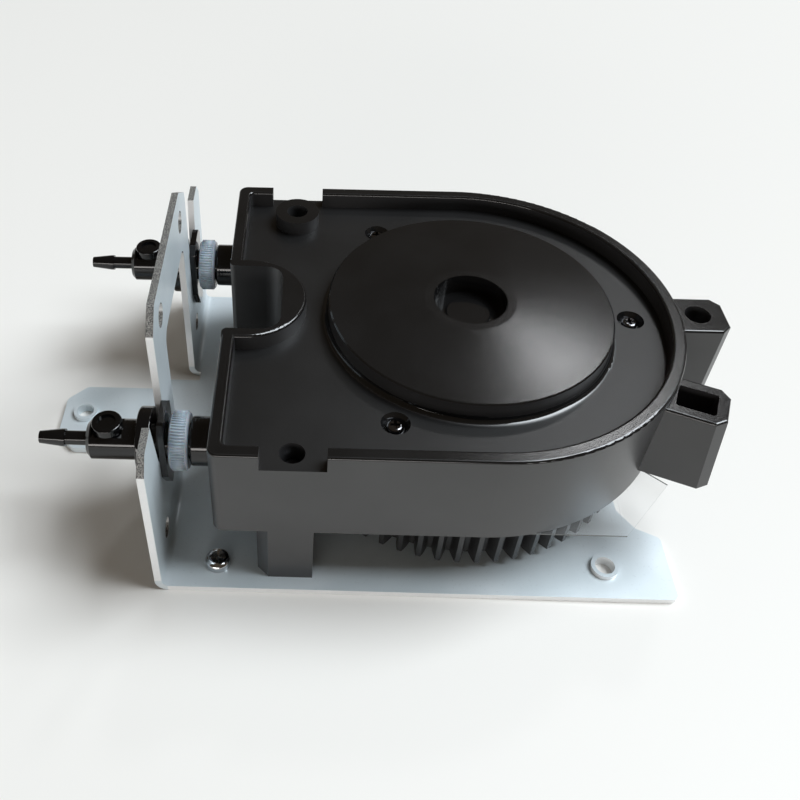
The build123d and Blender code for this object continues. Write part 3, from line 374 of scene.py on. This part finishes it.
# %% [markdown]
# ## Ribbed nuts
#
# Each nut is a ring with sixty fine ribs. Geometry Nodes places a slim rod at every point of a circle,
# shortens each one a little at random, and turns the ring so that its axis lies along the fitting. The
# same node group makes both nuts from its named inputs.


# %% Ribbed nuts
NUT_WALL = 2.5 * MM
NUT_BEVEL = 0.4 * MM
RIB_RADIUS = 0.2 * MM
RIBS = 60
RIB_SEED = 7
SMALL_FACE = 0.4 * MM * MM    # faces below this area are rounded ones and are shaded smooth


def ribbed_ring_group():
    group = bpy.data.node_groups.new("ribbed_ring", "GeometryNodeTree")
    face = group.interface
    face.new_socket("Geometry", in_out="INPUT", socket_type="NodeSocketGeometry")
    for label, kind in (("Ribs", "Int"), ("Seed", "Int"), ("Radius", "Float"), ("Length", "Float"),
                        ("Rib Radius", "Float"), ("Place", "Vector"), ("Finish", "Material")):
        face.new_socket(label, in_out="INPUT", socket_type="NodeSocket" + kind)
    face.new_socket("Geometry", in_out="OUTPUT", socket_type="NodeSocketGeometry")

    def node(kind, **inputs):
        made = group.nodes.new(kind)
        for key, value in inputs.items():
            socket = made.inputs[key.replace("_", " ")]
            if isinstance(value, bpy.types.NodeSocket):
                group.links.new(value, socket)
            else:
                socket.default_value = value
        return made

    given = group.nodes.new("NodeGroupInput").outputs
    circle = node("GeometryNodeMeshCircle", Vertices=given["Ribs"], Radius=given["Radius"])
    rod = node("GeometryNodeMeshCylinder", Vertices=10, Radius=given["Rib Radius"], Depth=given["Length"])
    vary = group.nodes.new("FunctionNodeRandomValue")
    vary.data_type = "FLOAT_VECTOR"
    vary.inputs[0].default_value = (1.0, 1.0, 0.96)
    vary.inputs[1].default_value = (1.0, 1.0, 1.0)
    group.links.new(given["Seed"], vary.inputs["Seed"])
    ribs = node("GeometryNodeInstanceOnPoints", Points=circle.outputs[0], Instance=rod.outputs[0],
                Scale=vary.outputs[0])
    solid = node("GeometryNodeRealizeInstances", Geometry=ribs.outputs[0])
    both = group.nodes.new("GeometryNodeJoinGeometry")
    group.links.new(given["Geometry"], both.inputs[0])
    group.links.new(solid.outputs[0], both.inputs[0])
    turned = node("GeometryNodeTransform", Geometry=both.outputs[0], Rotation=(0, math.pi / 2, 0),
                  Translation=given["Place"])
    whole = node("GeometryNodeRealizeInstances", Geometry=turned.outputs[0])
    dressed = node("GeometryNodeSetMaterial", Geometry=whole.outputs[0], Material=given["Finish"])
    out = group.nodes.new("NodeGroupOutput")
    group.links.new(dressed.outputs[0], out.inputs[0])
    return group


def lathe(name, profile, steps=96):
    """Turns a closed profile of (radius, height) points round the Z axis."""
    mesh = bpy.data.meshes.new(name)
    build = bmesh.new()
    rings = []
    for k in range(steps):
        turn = Matrix.Rotation(2 * math.pi * k / steps, 3, "Z")
        rings.append([build.verts.new(turn @ Vector((r, 0, h))) for r, h in profile])
    count = len(profile)
    for k in range(steps):
        here, there = rings[k], rings[(k + 1) % steps]
        for i in range(count):
            j = (i + 1) % count
            build.faces.new((here[i], there[i], there[j], here[j]))
    bmesh.ops.recalc_face_normals(build, faces=build.faces)
    build.to_mesh(mesh)
    build.free()
    piece = bpy.data.objects.new(name, mesh)
    bpy.context.scene.collection.objects.link(piece)
    return piece


def baked(piece):
    """Replaces a piece's mesh by the result of its modifiers and removes them."""
    graph = bpy.context.evaluated_depsgraph_get()
    mesh = bpy.data.meshes.new_from_object(piece.evaluated_get(graph))
    mesh.name = piece.name
    piece.modifiers.clear()
    piece.data = mesh
    return piece


def ribbed_nut(side, group):
    low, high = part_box(side + "_nut")
    place = [(a + b) / 2 for a, b in zip(low, high)]
    length, outer = high[0] - low[0], (high[2] - low[2]) / 2
    bore = outer - NUT_WALL
    body, bevel = outer - RIB_RADIUS, NUT_BEVEL
    half = length / 2
    profile = [(bore, -half + bevel), (bore + bevel, -half), (body - bevel, -half), (body, -half + bevel),
               (body, half - bevel), (body - bevel, half), (bore + bevel, half), (bore, half - bevel)]
    nut = lathe(side + "_ribbed_nut", profile)
    ring = nut.modifiers.new("ribs", "NODES")
    ring.node_group = group
    wanted = {"Ribs": RIBS, "Seed": RIB_SEED, "Radius": body, "Length": length - 2.4 * bevel,
              "Rib Radius": RIB_RADIUS, "Place": place, "Finish": nylon}
    for item in group.interface.items_tree:
        if item.in_out == "INPUT" and item.name in wanted:
            ring[item.identifier] = wanted[item.name]
    baked(nut)
    for polygon in nut.data.polygons:
        polygon.use_smooth = polygon.area < SMALL_FACE
    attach(nut, "nut_" + side)
    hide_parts(side + "_nut")
    return nut


ring_group = ribbed_ring_group()
nuts = [ribbed_nut(side, ring_group) for side in ("front", "rear")]
print("nuts:", [len(nut.data.polygons) for nut in nuts])

# %% [markdown]
# ## Finishes for the CAD parts
#
# Every part that came from CAD gets one of the finishes above. The shapes stay as they are.

# %% Finishes
FINISHES = {
    housing_black: ("pump_housing", "bottom_cover"),
    gear_black: ("drive_gear",),
    inner_black: ("tube_race", "rotor_spider", "rotor_top_plate"),
    zinc: ("base_bracket",),
    fitting_black: (
        "front_fitting", "rear_fitting", "front_plug", "rear_plug", "front_clamp_plate",
        "rear_clamp_plate", "front_port_sleeve", "rear_port_sleeve",
    ),
    nylon: ("front_nut", "rear_nut"),
    acetal: ("roller_1", "roller_2", "roller_3"),
    hose_rubber: ("pump_tube",),
    seal_rubber: ("front_seal", "rear_seal"),
    clear_polyester: ("clear_film",),
    ground_steel: ("rotor_shaft", "roller_pins", "cross_pins", "thrust_washer", "shaft_clip"),
    bright_steel: ("plate_screw", "cover_screws"),
    black_screw: ("deck_screws", "leg_screws"),
    bronze: ("lower_bush", "upper_bush"),
}
for finish, names in FINISHES.items():
    for name in names:
        nodes[name].data.materials.clear()
        nodes[name].data.materials.append(finish)
print("finishes:", len(FINISHES))

# %% [markdown]
# ## The studio
#
# The head lies on a white table. One large window high at the right gives the short shadows to the left,
# and a dim warm room fills them. A light wider than the bracket is why its shadows taper to a point.
# A small window behind draws the sheen on the disc. A low strip in front lights the upright walls and
# cut edges without lighting the table much.


# %% Floor
def make_floor():
    mesh = bpy.data.meshes.new("table_top")
    reach = 3.0    # half of the table's width
    corners = [(-reach, -reach, 0), (reach, -reach, 0), (reach, reach, 0), (-reach, reach, 0)]
    mesh.from_pydata(corners, [], [(0, 1, 2, 3)])
    floor = bpy.data.objects.new("table_top", mesh)
    bpy.context.scene.collection.objects.link(floor)
    paint = Paint("table_white")
    broad = paint.noise(3.0, 2.0)
    colour = paint.mix(broad, rgb(0.84, 0.82, 0.785), rgb(0.86, 0.84, 0.805))
    mesh.materials.append(paint.finish(Base_Color=colour, Roughness=0.55))


make_floor()


# %% Light
LAMP_DISTANCE = 6.0
LAMPS = {    # azimuth and elevation in degrees, width and height in metres, power in watts, colour
    "window": (12, 57, 3.6, 3.2, 452.0, (0.935, 1.0, 1.05)),
    "small_window": (64.4, 44.6, 0.6, 0.5, 14.4, (0.97, 0.985, 1.0)),
    "room_front": (258, 10, 4.8, 1.0, 96.0, (1.0, 0.96, 0.93)),
}


def area_light(name, place, width, height, power, colour):
    """A rectangular light that faces the origin."""
    light = bpy.data.lights.new(name, "AREA")
    light.shape = "RECTANGLE"
    light.size = width
    light.size_y = height
    light.energy = power
    light.color = colour
    lamp = bpy.data.objects.new(name, light)
    bpy.context.scene.collection.objects.link(lamp)
    lamp.location = place
    lamp.rotation_euler = (-Vector(place)).to_track_quat("-Z", "Y").to_euler()


def sky_point(azimuth, elevation):
    """The place of a lamp, with its direction in degrees from +X and from the floor."""
    turn, rise = math.radians(azimuth), math.radians(elevation)
    level = LAMP_DISTANCE * math.cos(rise)
    return (level * math.cos(turn), level * math.sin(turn), LAMP_DISTANCE * math.sin(rise))


for name, (azimuth, elevation, *rest) in LAMPS.items():
    area_light(name, sky_point(azimuth, elevation), *rest)

world = bpy.data.worlds.new("room")
world.use_nodes = True
background = world.node_tree.nodes["Background"]
background.inputs["Color"].default_value = rgb(0.085, 0.068, 0.050)
background.inputs["Strength"].default_value = 1.0
bpy.context.scene.world = world
bpy.context.scene.view_settings.view_transform = "Standard"

# %% [markdown]
# ## The camera
#
# The camera stands in front of the head and looks down at about 44 degrees. Its lens is a little long,
# and it is shifted because the view is a crop of a wider one.


# %% Camera
def aim_camera(place, pitch, yaw, roll, lens, shift):
    forward = Vector((math.sin(yaw) * math.cos(pitch), math.cos(yaw) * math.cos(pitch), -math.sin(pitch)))
    right = Vector((math.cos(yaw), -math.sin(yaw), 0))
    up = right.cross(forward)
    side = math.cos(roll) * right + math.sin(roll) * up
    top = math.cos(roll) * up - math.sin(roll) * right
    turn = Matrix((side, top, -forward)).transposed()
    data = bpy.data.cameras.new("camera")
    data.sensor_fit = "HORIZONTAL"
    data.sensor_width = 36.0
    data.lens = lens
    data.shift_x, data.shift_y = shift
    data.clip_start = 0.01
    camera = bpy.data.objects.new("camera", data)
    bpy.context.scene.collection.objects.link(camera)
    camera.matrix_world = Matrix.Translation(place) @ turn.to_4x4()
    bpy.context.scene.camera = camera


CAMERA_PLACE = (-0.035095, -0.151677, 0.170271)
CAMERA_PITCH, CAMERA_YAW, CAMERA_ROLL = 0.762, -0.017, 0.013    # radians
CAMERA_LENS = 40.517                                            # mm, on a sensor 36 mm wide
CAMERA_SHIFT = (0.1278, -0.0589)
aim_camera(CAMERA_PLACE, CAMERA_PITCH, CAMERA_YAW, CAMERA_ROLL, CAMERA_LENS, CAMERA_SHIFT)
